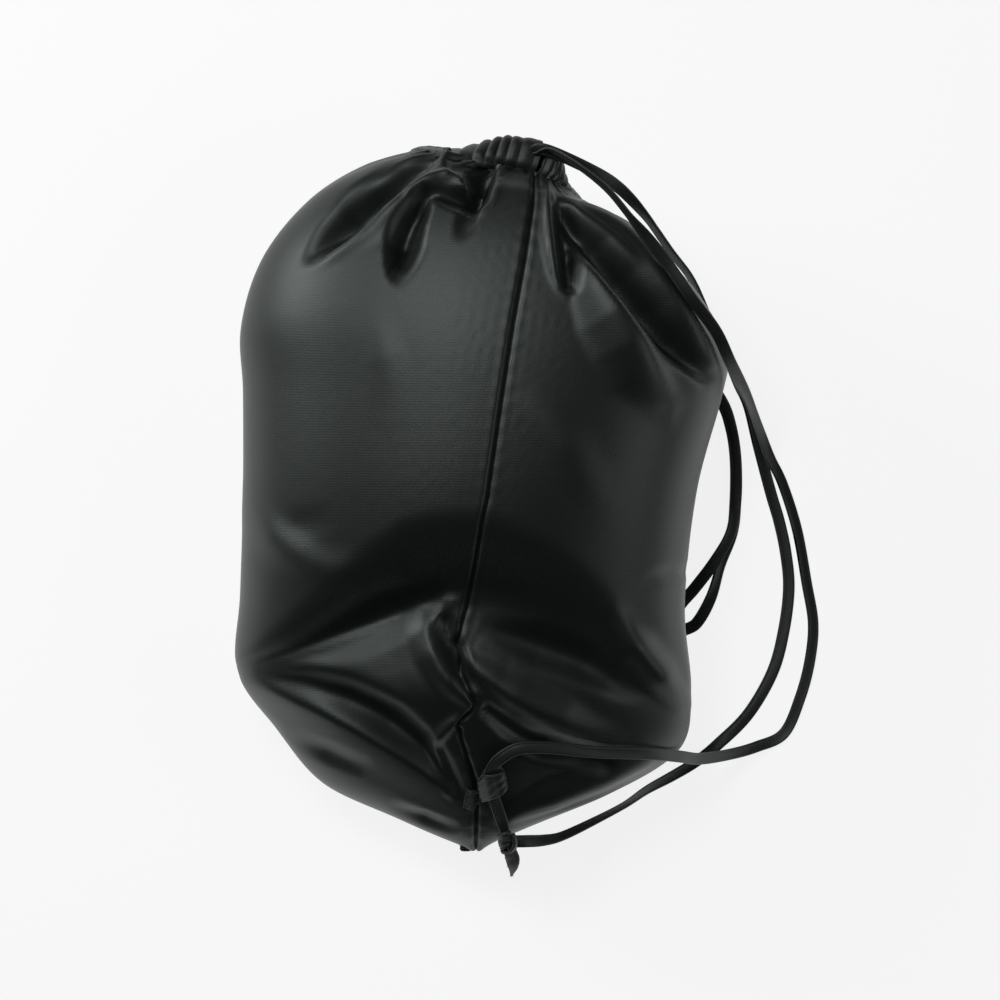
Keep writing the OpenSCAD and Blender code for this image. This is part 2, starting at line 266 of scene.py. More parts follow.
LEFT_FRONT_ROUTE = [
    (16, 196, 43), (40, 180, 26), (72, 150, 10), (104, 112, 3), (130, 80, FLAT), (146, 58, FLAT),
    (152, 42, FLAT), (155, 22, FLAT), (155, -4, FLAT), (153, -24, FLAT), (146, -44, FLAT),
    (140, -64, FLAT), (131, -80, FLAT), (121, -86, FLAT), (115, -98, FLAT), (117, -124, FLAT),
    (114, -134, FLAT), (107, -137, FLAT), (103, -128, FLAT), (103, -102, FLAT), (100, -92, FLAT),
    (94, -92, FLAT), (92, -104, FLAT), (92, -134, FLAT), (80, -150, FLAT), (60, -166, FLAT),
    (38, -181, 3), (25, -191, 6), (13, -198, 9),
]
LEFT_BACK_ROUTE = [
    (20, 190, 45), (42, 176, 31), (73, 148, 14), (104, 110, 7), (130, 79, 4), (146, 57, 4),
    (152, 41, 4), (155, 21, 4), (155, -4, 4), (152, -24, 4), (142, -42, 4), (130, -58, 4),
    (120, -70, 4), (117, -82, 4), (116, -130, 4), (111, -138, 4), (106, -130, 4),
    (106, -96, 4), (101, -88, 4), (96, -96, 4), (97, -140, 4), (91, -157, 2), (74, -173, FLAT),
    (54, -185, FLAT), (32, -196, FLAT), (20, -201, 2.5), (14, -204, 3.5),
]
LEFT_UNDER_TAB_ROUTE = [(13, -204.3, 3), (8, -205, 1.5), (-6, -206, 1.5), (-20, -204, 3), (-33, -200, 5)]


# A flat cord, folded and edge-stitched, is cut across here: shares of half its width and of half
# its thickness.
CORD_OUTLINE = np.array([
    (-1.0, 0.0), (-0.96, 0.55), (-0.84, 0.85), (-0.68, 0.72), (-0.58, 0.62), (-0.48, 0.80),
    (-0.2, 0.95), (0.2, 1.0), (0.6, 0.95), (0.86, 0.85), (0.97, 0.5),
    (1.0, 0.0), (0.96, -0.55), (0.84, -0.85), (0.55, -0.95), (0.2, -1.0), (-0.2, -0.98),
    (-0.55, -0.95), (-0.84, -0.85), (-0.96, -0.55),
])


def cord_section(width, thick):
    return CORD_OUTLINE * (width / 2, thick / 2)


def add_strap(name, line, roll):
    """A flat cord along the line. roll gives its turn about the line, in radians, from the
    share of the way along."""
    line = np.asarray(line, float)
    heading = headings(line)
    across = unit(np.cross(np.array([0.0, 0.0, 1.0]), heading))
    over = np.cross(heading, across)
    turn = np.array([roll(s) for s in even_shares(len(line))])[:, None]
    side = across * np.cos(turn) + over * np.sin(turn)
    up = over * np.cos(turn) - across * np.sin(turn)
    points = sweep(line, side, up, cord_section(CORD_W, CORD_T))
    keep_above(points, CORD_LOWEST * MM)
    faces = [face[::-1] for face in tube_faces(*points.shape[:2])]
    return add_mesh(name, points, faces, CORD_CLOTH)


def wavering(seed, keys):
    """A roll that eases between the key angles, given as (share, degrees), with a slight waver."""
    at = np.array([k[0] for k in keys])
    angle = np.radians([k[1] for k in keys])

    def roll(s):
        k = int(np.clip(np.searchsorted(at, s) - 1, 0, len(at) - 2))
        t = smooth_step((s - at[k]) / max(at[k + 1] - at[k], 1e-6))
        return angle[k] + (angle[k + 1] - angle[k]) * t + 0.10 * math.sin(23.0 * s + seed)

    return roll


# How far each strap is turned about its own line, as (share of the way along, degrees).
RIGHT_FRONT_ROLL = [
    (0, 15), (0.1, 15), (0.17, 66), (0.32, 70), (0.4, 30), (0.7, 0), (0.78, 40), (0.86, 62),
    (0.94, 50), (1, 5),
]
RIGHT_BACK_ROLL = [
    (0, 70), (0.1, 68), (0.14, 20), (0.26, 20), (0.34, 55), (0.42, 45), (0.6, 25), (0.72, 35),
    (0.8, 10), (1, 0),
]
LEFT_FRONT_ROLL = [(0, 30), (0.2, 0), (0.42, 0), (0.5, 40), (0.56, 0), (1, 0)]
LEFT_BACK_ROLL = [(0, 30), (0.2, 0), (0.38, 0), (0.44, 30), (0.5, 0), (1, 0)]

STRAPS = {}
for name, route, roll_keys in (
    ("right_cord_front_strand", RIGHT_FRONT_ROUTE, RIGHT_FRONT_ROLL),
    ("right_cord_back_strand", RIGHT_BACK_ROUTE, RIGHT_BACK_ROLL),
    ("left_cord_front_strand", LEFT_FRONT_ROUTE, LEFT_FRONT_ROLL),
    ("left_cord_back_strand", LEFT_BACK_ROUTE, LEFT_BACK_ROLL),
):
    line = curve_through(np.array(route, float) * MM, 1.25 * MM)
    strap = add_strap(name + "_cloth", line, wavering(len(STRAPS), roll_keys))
    STRAPS[name] = (strap, line)


# ---- The bag's shape ----

# Rings round the bag, from the bottom to the mouth: front side, back side, right seam and left
# seam. They are within a few millimetres of part.scad's.
STATIONS = np.array([
    [(-16, -209, 42), (-4, -209, 42), (-10, -216, 62), (-9, -204, 24)],
    [(-52, -196, 44), (30, -199, 44), (-5, -202, 77), (-8, -193, 15)],
    [(-97, -176, 46), (76, -182, 46), (-6, -176, 92), (-7, -176, 5)],
    [(-126, -142, 50), (118, -155, 50), (-11, -143, 108), (-7, -144, -4)],
    [(-149, -107, 56), (125, -119, 54), (-13, -106, 122), (-8, -106, -10)],
    [(-147, -60, 60), (121, -66, 58), (-9, -62, 134), (-8, -62, -14)],
    [(-145, 0, 64), (128, 2, 64), (2, 0, 142), (-4, 0, -14)],
    [(-145, 60, 64), (143, 58, 64), (12, 64, 142), (2, 60, -12)],
    [(-146, 100, 66), (146, 84, 66), (19, 108, 138), (6, 92, -6)],
    [(-133, 140, 68), (131, 112, 69), (26, 146, 130), (10, 124, 8)],
    [(-105, 174, 72), (103, 142, 73), (30, 174, 119), (12, 156, 28)],
    [(-72, 195, 76), (76, 161, 77), (31, 184, 110), (13, 176, 42)],
    [(-42, 204, 79), (58, 172, 80), (32, 190, 104), (14, 186, 52)],
], float)
BLUNT = {-1: 2.0, 1: 2.3}  # how square the rings are, front and back: 2 is an ellipse
LAST = len(STATIONS) - 1
RINGS = 140  # rings from the bottom fold to the mouth
HALF = 100  # points round each panel
AROUND = 2 * HALF


def station(row):
    """The four points of the ring at a place along STATIONS, eased between its neighbours."""
    i = min(int(row), LAST - 1)
    return eased(*(STATIONS[min(max(k, 0), LAST)] for k in (i - 1, i, i + 1, i + 2)), row - i)


def half_ring(row, side):
    """One panel's half of a ring, from the right seam to the left, evenly spaced."""
    front, back, right, left = station(row)
    edge = front if side < 0 else back
    middle = np.array([right[0], (front[1] + back[1]) / 2, (front[2] + back[2]) / 2])
    angle = np.linspace(0.0, math.pi, 241)
    out = np.sin(angle).clip(0.0) ** (2 / BLUNT[side])
    up = np.abs(np.cos(angle)) ** (2 / BLUNT[side])
    seam = np.where(angle[:, None] < math.pi / 2, right - middle, left - middle)
    points = middle + out[:, None] * (edge - middle) + up[:, None] * seam
    return spread_evenly(points, count=HALF + 1)


def base_shape():
    """All rings, each going round from the right seam over the front panel and back."""
    rings = []
    for row in LAST * even_shares(RINGS):
        front = half_ring(row, -1)
        back = half_ring(row, 1)[::-1]
        rings.append(np.vstack([front[:-1], back[:-1]]))
    return np.array(rings)


def grid_normals(grid):
    around = np.roll(grid, -1, axis=1) - np.roll(grid, 1, axis=1)
    along = np.gradient(grid, axis=0)
    return unit(np.cross(along, around))


# ---- Folds ----


def nearest(points, path):
    """For each plan point, its signed distance from the path, positive on the path's left, and
    its share of the way along it."""
    best = np.full(len(points), 1e9)
    signed = np.zeros(len(points))
    share = np.zeros(len(points))
    lengths = np.linalg.norm(np.diff(path, axis=0), axis=1)
    start = np.concatenate([[0.0], np.cumsum(lengths)])
    for a, b, s, length in zip(path, path[1:], start, lengths):
        run = (b - a) / length
        rel = points - a
        t = np.clip(rel @ run, 0.0, length)
        off = rel - t[:, None] * run
        dist = np.hypot(off[:, 0], off[:, 1])
        left = np.sign(run[0] * rel[:, 1] - run[1] * rel[:, 0])
        closer = dist < best
        best = np.where(closer, dist, best)
        signed = np.where(closer, dist * left, signed)
        share = np.where(closer, (s + t) / start[-1], share)
    return signed, share


class Fold:
    """A ridge or a valley in the cloth along a line seen from above, in millimetres.

    left and right are how far it reaches on each side of its line, at each of its points.
    height is above the cloth at the line, and below it where negative. A crisp fold has a
    sharp edge along its line, and is pressed in after the cloth has settled. Others are round.
    """

    def __init__(self, points, left, right, height, crisp=False):
        self.path = curve_through(points, 2.5)
        self.left, self.right, self.height, self.crisp = left, right, height, crisp

    def spread(self, value, share):
        value = np.atleast_1d(np.asarray(value, float))
        return np.interp(share, even_shares(len(value)), value)

    def lift(self, plan):
        signed, share = nearest(plan, self.path)
        reach = np.where(signed > 0, self.spread(self.left, share), self.spread(self.right, share))
        x = (np.abs(signed) / reach.clip(0.1)).clip(0.0, 1.0)
        fall = (1.0 - x) ** 2 if self.crisp else 1.0 - smooth_step(x)
        return self.spread(self.height, share) * fall


# On the side that faces up, from the mouth down. Each is at its place on the bag.
FOLDS = [
    # front panel, below the mouth: a deep hollow between the outline and a ridge
    Fold([(-28, 199), (-46, 187), (-62, 175), (-78, 159), (-91, 148), (-100, 139)],
         [8, 9, 10, 10, 9, 6], [8, 13, 16, 17, 15, 8], [-4, -11, -16, -16, -11, -3]),
    Fold([(-8, 207), (-34, 188), (-58, 168), (-76, 152), (-99, 138)],
         [10, 14, 14, 12, 8], [5, 6, 6, 6, 5], [0.2, 4, 4.5, 3, 1]),
    Fold([(-20, 206), (-43, 197), (-64, 183), (-76, 171)], 6, 6, [1, 3, 3, 1]),
    # the next hollow turns down from the mouth, under an arched ridge
    Fold([(-34, 176), (-39, 168), (-45, 159), (-49, 149), (-50, 139), (-52, 124)],
         [6, 11, 15, 17, 13, 7], [6, 8, 9, 9, 8, 4], [-5, -11, -14, -14, -9, -1]),
    Fold([(-43, 178), (-31, 184), (-21, 186), (-12, 184), (-6, 177)],
         [4, 4, 4, 4], [6, 8, 8, 6], [2, 4, 4, 1.5]),
    # a pocket below the gathers, closed by a curled ridge on its left
    Fold([(5, 197), (1, 186), (-4, 174), (-13, 173), (-27, 176)],
         [6, 9, 9, 8, 6], [14, 16, 12, 8, 5], [-7, -14, -14, -8, -2]),
    Fold([(-4, 176), (-8, 165), (-13, 152)], [7, 8, 6], [8, 8, 6], [-3, -6, -1]),
    Fold([(-5, 209), (-19, 201), (-23, 193), (-21, 187)], [4, 5, 5, 4], [8, 9, 8, 6], [1, 4, 4, 2]),
    Fold([(10, 194), (5, 177), (-4, 162)], [9, 10, 8], [3, 3, 3], [1, 2, 0.4], crisp=True),
    # back panel, below the mouth: a ridge and a hollow by the seam, then a long deep hollow
    Fold([(38, 188), (37.5, 166), (39.5, 143), (43, 124), (49, 114)],
         [5, 6, 6, 5, 3], [5, 7, 8, 7, 4], [1, 2.8, 3.2, 2.5, 0.5], crisp=True),
    Fold([(43, 168), (47, 150), (49, 135), (50, 122)], [12, 14, 14, 9], [5, 8, 8, 6], [-4, -9, -10, -4]),
    Fold([(48, 164), (67, 139), (84, 118), (102, 96), (118, 79), (131, 68)],
         [8, 17, 21, 20, 16, 10], [6, 9, 10, 10, 9, 6], [-5, -14, -18, -18, -14, -4]),
    Fold([(60, 173), (88, 152), (110, 120), (129, 92), (136, 77)],
         [6, 8, 8, 7, 6], [5, 6, 6, 6, 5], [1, 3, 3, 3, 1]),
    Fold([(52, 139), (64, 128), (76, 111), (87, 93), (97, 74), (107, 54)],
         [8, 10, 12, 14, 14, 14], [12, 22, 30, 32, 30, 20], [2, 7.5, 10.5, 10, 7, 2]),
    # the cloth has sunk in round the seam towards the bottom, with a crease across it
    Fold([(-146, -105), (-116, -96), (-92, -88), (-67, -80), (-44, -72), (-20, -66), (10, -70), (45, -84),
          (80, -100)],
         [8, 20, 34, 48, 58, 58, 50, 42, 30], [10, 24, 40, 54, 60, 60, 60, 50, 30],
         [-1, -4, -9, -14, -17, -17, -13, -8, -2]),
    Fold([(-145, -104), (-116, -96), (-92, -87), (-67, -78), (-44, -70), (-30, -66)],
         [6, 12, 18, 24, 26, 22], [5, 12, 18, 22, 20, 10], [-1, -3, -4.5, -6, -7, -4]),
    Fold([(-144, -105), (-101, -92), (-67, -81), (-36, -71)],
         [3, 4, 4, 3], [5, 8, 9, 8], [0.4, 1.2, 1.2, 0.0], crisp=True),
    Fold([(-36, -78), (-33, -91), (-22, -108), (-8, -124)], [6, 9, 9, 5], [10, 14, 12, 6], [1, 4.5, 4, 1.5]),
    Fold([(-24, -80), (-18, -97), (-9, -112)], [9, 10, 7], [6, 7, 6], [-3, -5, -2]),
    Fold([(-134, -108), (-100, -118), (-71, -131), (-46, -147), (-29, -161), (-17, -176)],
         [6, 15, 20, 22, 16, 8], [6, 9, 10, 10, 9, 6], [-1, -6, -10, -11, -8, -2]),
    Fold([(-137, -112), (-101, -125), (-74, -140), (-50, -156), (-32, -170), (-17, -184)],
         [7, 11, 13, 11, 7], [10, 20, 24, 20, 10], [0.4, 2.2, 2.8, 2.5, 1.5, 0.4]),
    Fold([(-113, -148), (-92, -156), (-74, -162)], 10, 8, [-1, -3, -1]),
    Fold([(-52, -189), (-36, -195), (-20, -200)], 7, 6, [-1, -3.5, -1]),
    Fold([(-17, -135), (-29, -148), (-26, -160), (-19, -176)], 5, 7, [2, 4, 2]),
    # back panel, towards the bottom
    Fold([(-8, -101), (23, -122), (49, -136), (76, -146)], [8, 16, 18, 12], [7, 11, 12, 8], [2, 5, 5, 1]),
    Fold([(4, -84), (31, -94), (60, -103), (88, -118)], [9, 20, 18, 10], [8, 13, 13, 8], [-1, -6, -6, -1]),
    Fold([(2, -128), (28, -148), (72, -160)], [7, 11, 8], [7, 10, 8], [-4, -8, -2]),
    Fold([(78, -70), (86, -87), (100, -105), (118, -126)], [10, 17, 17, 10], [8, 13, 12, 8], [1, 8, 8, 2]),
    Fold([(12, -194), (45, -180), (80, -167), (98, -160)], [9, 14, 14, 8], [7, 10, 10, 6], [1, 6, 6, 2]),
    Fold([(124, -46), (108, -48), (94, -52)], 5, 6, [-4, -3, -1], crisp=True),
    # faint creases
    Fold([(4, -48), (12, -47), (19, -41)], 2.5, 2.5, [0.2, 0.6, 0.1], crisp=True),
    Fold([(-5, 96), (-4.5, 92), (-5.5, 88)], 1.2, 1.2, [0.1, -0.4, 0.1], crisp=True),
    Fold([(-126, -12), (-108, -18), (-86, -14)], 12, 14, [0, -1.0, 0]),
    Fold([(-143, 0), (-122, -26), (-98, -42), (-70, -46)], 14, 18, [0.4, 2.2, 2.0, 0.4]),
    Fold([(-70, 108), (-58, 80), (-56, 50)], 16, 18, [0.2, 1.2, 0.2]),
    Fold([(20, 60), (48, 30), (70, -8)], 18, 18, [0.2, 1.6, 0.2]),
]

# The right seam wanders, and puckers above its tab.
SEAM_LINE = np.array([
    (31, 196), (29, 170), (24, 137), (17, 98), (10, 52), (2, -4), (-1, -17), (-5, -43),
    (-10, -70), (-17, -93), (-14, -98), (-14, -106), (-4, -125), (-15, -136), (-14, -144),
    (-9, -160), (-5, -172), (-4, -180), (-5, -212),
], float)
PLEATS = 46  # small gathers round the mouth
PLEAT_DEPTH = 2.0
BROAD_PLEATS = 15  # and broad ones below them
BROAD_DEPTH = 3.0
SEAM_PULL = 22.0  # millimetres to each side of the right seam that follow its wandering
LOWEST = 1.5  # millimetres: half the cloth, with its creases, above the surface


def pleat_wave(turn, count, seed):
    """Uneven gathers round the mouth: sharp between, round on top. turn is 0 to 1 round it."""
    angle = 2 * math.pi * turn
    drift = 0.35 * np.sin(3 * angle + seed) + 0.25 * np.sin(7 * angle + 2 * seed)
    phase = count * turn + drift
    size = 0.75 + 0.35 * np.sin(5 * angle + 3 * seed)
    return size * (np.abs(np.sin(math.pi * phase)) ** 0.75 * 2.0 - 1.2)


def folded(grid):
    """The grid with its seam led along SEAM_LINE and every broad fold pressed into it."""
    grid = grid.copy()
    seam_x = np.interp(-grid[:, 0, 1], -SEAM_LINE[:, 1], SEAM_LINE[:, 0])
    girth = np.cumsum(np.linalg.norm(np.diff(grid, axis=1, append=grid[:, :1]), axis=2), axis=1)
    from_seam = np.concatenate([np.zeros((RINGS, 1)), girth[:, :-1]], axis=1)
    from_seam = np.minimum(from_seam, girth[:, -1:] - from_seam)
    grid[..., 0] += (seam_x - grid[:, 0, 0])[:, None] * np.exp(-((from_seam / SEAM_PULL) ** 2))

    normals = grid_normals(grid)
    plan = grid[..., :2].reshape(-1, 2)
    lift = sum(fold.lift(plan) for fold in FOLDS if not fold.crisp).reshape(grid.shape[:2])
    facing_up = smooth_step((normals[..., 2] + 0.15) / 0.35)
    turn = np.linspace(0.0, 1.0, AROUND, endpoint=False)[None, :]
    down = (LAST - LAST * even_shares(RINGS))[:, None]
    broad = pleat_wave(turn, BROAD_PLEATS, 0.4) * np.exp(-((down / 1.7) ** 2)) * (1 - np.exp(-(down / 0.5)))
    shape = lift * facing_up + BROAD_DEPTH * broad * (1.0 - 0.75 * facing_up)
    grid += normals * shape[..., None]
    keep_above(grid, LOWEST)
    return grid


# ---- The cloth settles ----

SETTLE_FRAMES = 26
SLACK_MOUTH = 0.16  # extra cloth round the bag at the mouth, as a share of its girth
SLACK_BOTTOM = 0.12
HOLD = 0.35  # how firmly the filling holds level cloth in place, up to 1
SEAM_HOLD = 0.6


def slack(down, up):
    """Extra girth for a ring, by its distance down from the mouth and up from the bottom."""
    return SLACK_MOUTH * np.exp(-((down / 2.4) ** 2)) + SLACK_BOTTOM * np.exp(-((up / 2.5) ** 2))


def settled(grid):
    """The bag's skin, in metres, after its filling has pushed its slack cloth into creases."""
    grid = grid * MM
    rows, cols = grid.shape[:2]
    place = LAST * even_shares(rows)
    faces = grid_faces(rows, cols, closed=True, flip=True)
    obj = add_mesh("settling", grid, faces, PANEL_CLOTH)

    middle = grid.mean(axis=1, keepdims=True)
    grown = middle + (grid - middle) * (1.0 + slack(LAST - place, place))[:, None, None]
    obj.shape_key_add(name="Basis")
    cut = obj.shape_key_add(name="cut")
    cut.data.foreach_set("co", grown.reshape(-1))

    hold = obj.vertex_groups.new(name="hold")
    upright = 1.0 - np.abs(grid_normals(grid)[..., 2])
    for i in range(rows):
        for j in range(cols):
            edge = i < 2 or i > rows - 3
            seam = min(j, cols - j) < 2 or abs(j - cols // 2) < 2
            firm = SEAM_HOLD if seam else HOLD + 0.5 * float(upright[i, j]) ** 2
            hold.add([i * cols + j], 1.0 if edge else firm, "REPLACE")

    cloth = obj.modifiers.new("cloth", "CLOTH")
    s = cloth.settings
    s.quality = 6
    s.mass = 0.1
    s.air_damping = 3.0
    s.tension_stiffness = 20.0
    s.compression_stiffness = 20.0
    s.shear_stiffness = 8.0
    s.bending_stiffness = 0.6
    s.tension_damping = s.compression_damping = s.shear_damping = 8.0
    s.bending_damping = 0.8
    s.use_pressure = True
    s.uniform_pressure_force = 1.2
    s.vertex_group_mass = "hold"
    s.pin_stiffness = 0.6
    s.rest_shape_key = cut
    s.effector_weights.gravity = 0.3
    cloth.collision_settings.use_collision = False
    cloth.point_cache.frame_start = 1
    cloth.point_cache.frame_end = SETTLE_FRAMES
    for frame_number in range(1, SETTLE_FRAMES + 1):
        scene.frame_set(frame_number)
    shaped = obj.evaluated_get(bpy.context.evaluated_depsgraph_get())
    points = np.empty(rows * cols * 3, np.float32)
    shaped.data.vertices.foreach_get("co", points)
    bpy.data.objects.remove(obj, do_unlink=True)
    scene.frame_set(1)
    points = points.astype(float).reshape(rows, cols, 3)
    keep_above(points, LOWEST * MM)
    return points


def cubic(values, at, closed=False):
    """Values along the first axis, eased to the places in at, which are counted in steps."""
    count = len(values)
    i = np.floor(at).astype(int)
    if not closed:
        i = np.clip(i, 0, count - 2)
    four = (
        values[(i + k) % count] if closed else values[np.clip(i + k, 0, count - 1)] for k in (-1, 0, 1, 2)
    )
    return eased(*four, (at - i)[:, None, None])


FINE_ROWS = 210  # rings of the detailed cloth
FINE_HALF = 150  # points round each panel of it
FINE_LOWEST = 0.6  # millimetres above the surface
SEAM_DEPTH = 2.6  # millimetres that each side seam is sunk
SEAM_REACH = 1.5  # to each side of it
PUCKER_HEIGHT = 0.22  # of the small puckers beside it
PUCKER_REACH = 5.0
PUCKER_PACE = 1.9  # along it, for each radian of their wave


def panel_shares():
    """Places round one panel, 0 to 1, closer together near its two seams."""
    u = even_shares(FINE_HALF + 1)
    return u - 0.13 * np.sin(2 * math.pi * u)


def detailed(grid):
    """The settled skin on a finer grid, with its small gathers, its sunken seams and puckers."""
    shares = panel_shares()
    round_places = np.concatenate([shares[:-1], 1.0 + shares[:-1]]) * HALF
    fine = cubic(grid, np.linspace(0.0, RINGS - 1.0, FINE_ROWS))
    fine = cubic(fine.transpose(1, 0, 2), round_places, closed=True).transpose(1, 0, 2)
    normals = grid_normals(fine)
    turn = (round_places / AROUND)[None, :]
    down = (LAST - LAST * even_shares(FINE_ROWS))[:, None]
    small = pleat_wave(turn, PLEATS, 1.3) * np.exp(-((down / 0.55) ** 1.5))
    plan = fine[..., :2].reshape(-1, 2) / MM
    sharp = sum(fold.lift(plan) for fold in FOLDS if fold.crisp).reshape(fine.shape[:2])
    sharp = sharp * smooth_step((normals[..., 2] + 0.1) / 0.3)

    steps = np.linalg.norm(np.diff(fine, axis=1, append=fine[:, :1]), axis=2)
    girth = np.cumsum(steps, axis=1)
    start = np.concatenate([np.zeros((FINE_ROWS, 1)), girth[:, :-1]], axis=1)
    half = start[:, FINE_HALF][:, None]
    whole = girth[:, -1:]
    from_seam = np.minimum(np.minimum(start, whole - start), np.abs(start - half)) / MM
    dip = -SEAM_DEPTH * np.exp(-((from_seam / SEAM_REACH) ** 1.5)) * smooth_step(down / 0.4)
    along = np.cumsum(np.linalg.norm(np.gradient(fine[:, 0], axis=0), axis=1))[:, None]
    pull = np.sin(along / MM / PUCKER_PACE)
    pucker = PUCKER_HEIGHT * pull * np.exp(-((from_seam / PUCKER_REACH) ** 2))
    fine = fine + normals * ((PLEAT_DEPTH * small + sharp + dip + pucker) * MM)[..., None]
    keep_above(fine, FINE_LOWEST * MM)
    return fine


def add_panels(grid):
    """The two panels, each a part of the grid with both of its seam columns."""
    front = grid[:, : FINE_HALF + 1]
    back = np.concatenate([grid[:, FINE_HALF:], grid[:, :1]], axis=1)
    pieces = []
    for name, part in (("front_panel", front), ("back_panel", back)):
        rows, cols = part.shape[:2]
        faces = grid_faces(rows, cols, flip=True)
        pieces.append(add_mesh(name + "_cloth", part, faces, PANEL_CLOTH))
    return pieces


bag = detailed(settled(folded(base_shape())))
front_panel, back_panel = add_panels(bag)
for obj in (front_panel, back_panel):
    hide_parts(obj.name.replace("_cloth", ""))
    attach(obj, "bag")


def share_round(side, share):
    """A place round the whole mouth, from a share of one panel counted from the right seam."""
    return share / 2 if side < 0 else 1.0 - share / 2


# ---- Casings ----

MOUTH_RING = base_shape()[-1]
MOUTH_MIDDLE = MOUTH_RING.mean(axis=0)
MOUTH_AXIS = unit(np.cross(STATIONS[LAST][2] - STATIONS[LAST][3], STATIONS[LAST][1] - STATIONS[LAST][0]))

LEAN = math.radians(62)  # how far the cord pulls the casing over
FRONT_LEAN = unit(np.cross(MOUTH_AXIS, np.cross((0.35, -0.1, -1.0), MOUTH_AXIS)))
BACK_LEAN = unit(np.cross(MOUTH_AXIS, np.cross((-0.45, -0.1, -1.0), MOUTH_AXIS)))

# Depth in from the outer face and height above the panel's edge, in millimetres, over the
# casing: from its stitch line up the outer face, over the top fold and down the inner face.
CASING_PROFILE = np.array([
    (3.4, -2.2), (1.6, 0.2), (0.9, 1.2), (0.1, 2.2), (-0.6, 4.0), (-0.9, 7.0), (-1.0, 10.0), (-0.8, 13.0),
    (-0.2, 15.6), (0.9, 17.4), (2.4, 18.5), (4.3, 18.9), (6.2, 18.3), (7.5, 16.8), (8.1, 14.0),
    (8.3, 10.0), (8.2, 6.0), (7.9, 3.0), (7.0, 1.2), (5.0, 0.2), (3.6, -0.2),
])
CASING_COLUMNS = 330
CASING_FROM = 0.008  # its two ends, as shares of its panel from the right seam
CASING_TO = 0.985
CORD_RISE = 9.5  # of the cord's middle inside it, above the panel's edge


def mouth_point(turn, depth, rise):
    """A point by the mouth: turn is 0 to 1 round it, from the right seam over the front. Round
    the front, the cord pulls the casing over, so that it leans in and down."""
    turn = np.atleast_1d(turn) % 1.0
    ring = cubic(MOUTH_RING[:, None, :], turn * AROUND, closed=True)[:, 0]
    out = ring - MOUTH_MIDDLE
    out = unit(out - (out @ MOUTH_AXIS)[:, None] * MOUTH_AXIS)
    front = smooth_step((turn - 0.05) / 0.13) * smooth_step((0.52 - turn) / 0.2)
    back = smooth_step((0.98 - turn) / 0.10) * smooth_step((turn - 0.48) / 0.2)
    lean = (LEAN * (front + back))[:, None]
    way = np.where((turn < 0.5)[:, None], FRONT_LEAN, BACK_LEAN)
    up = MOUTH_AXIS * np.cos(lean) + way * np.sin(lean)
    out = unit(out - (out * up).sum(axis=1)[:, None] * up)
    return ring - out * np.asarray(depth)[..., None] + up * np.asarray(rise)[..., None]


def gathers_round(turn):
    """The mouth's gathers: narrow sunken grooves between round cloth folds, about 0 to 1."""
    return pleat_wave(turn, PLEATS, 1.3) * 0.5 + 0.5


def add_casing(name, side):
    share = np.linspace(CASING_FROM, CASING_TO, CASING_COLUMNS)
    turn = share_round(side, share)
    flat_end = np.exp(-((share - CASING_FROM) / 0.05) ** 2) + np.exp(-((share - CASING_TO) / 0.035) ** 2)
    bulge = gathers_round(turn) * (1.0 - 0.8 * flat_end)
    wander = 0.5 * np.sin(41.0 * turn + 1.0) + 0.4 * np.sin(97.0 * turn)
    rows = []
    for depth, rise in CASING_PROFILE:
        outer = float(smooth_step((6.0 - depth) / 4.0))
        belly = float(smooth_step((rise + 0.5) / 4.0))
        lean = 0.0032 * np.sin(17.0 * turn + 0.7) * (rise / 18.0)
        puff = bulge * (0.7 + 2.3 * belly) * (1.0 if outer > 0.5 else -0.5)
        top = 1.1 * bulge * float(smooth_step((rise - 12.0) / 5.0)) + wander * rise / 18.0
        rows.append(mouth_point(turn + lean, depth - puff + 0.4 * outer, rise + top))
    grid = np.array(rows)
    closed = np.concatenate([grid, grid[:1]], axis=0)
    faces = grid_faces(len(closed), CASING_COLUMNS, flip=side > 0)
    obj = add_mesh(name + "_cloth", closed * MM, faces, EDGE_CLOTH)
    thicken(obj, 0.5 * MM)
    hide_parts(name)
    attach(obj, "bag")
    add_stitch_row(name + "_stitches", turn, 1.9, name)
    return obj


# ---- Stitches ----


def tube_mesh(lines, radius, sides=6):
    """Points and faces of thin round tubes along several lines, all in one mesh."""
    points, faces = [], []
    angle = np.linspace(0.0, 2 * math.pi, sides, endpoint=False)
    circle = np.stack([np.cos(angle), np.sin(angle)], axis=1)
    for line in lines:
        line = np.asarray(line, float)
        heading = headings(line)
        across = unit(np.cross(heading, np.array([0.31, 0.17, 0.93])))
        over = np.cross(heading, across)
        taper = np.ones(len(line))
        taper[0] = taper[-1] = 0.35
        rings = sweep(line, across, over, circle * (radius * taper)[:, None, None])
        base = len(points)
        points.extend(rings.reshape(-1, 3))
        for face in tube_faces(len(line), sides):
            faces.append(tuple(base + k for k in face))
    return points, faces


def add_stitches(name, lines, radius, node, body="bag"):
    points, faces = tube_mesh([np.asarray(line) * MM for line in lines], radius * MM)
    obj = add_mesh(name, points, faces, THREAD)
    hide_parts(node)
    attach(obj, body)
    return obj


STITCH = 2.4  # millimetres from one stitch to the next


def add_stitch_row(name, turn, rise, node):
    """A row of stitches along a casing, a little above the panel's edge."""
    depth = 0.75 - gathers_round(turn) * 0.95
    way = spread_evenly(mouth_point(turn, depth, rise), step=STITCH / 4)
    lines = [way[start : start + 4] for start in range(0, len(way) - 4, 4)]
    return add_stitches(name, lines, 0.22, node)


add_casing("front_casing", -1)
add_casing("back_casing", 1)


# ---- Seams ----


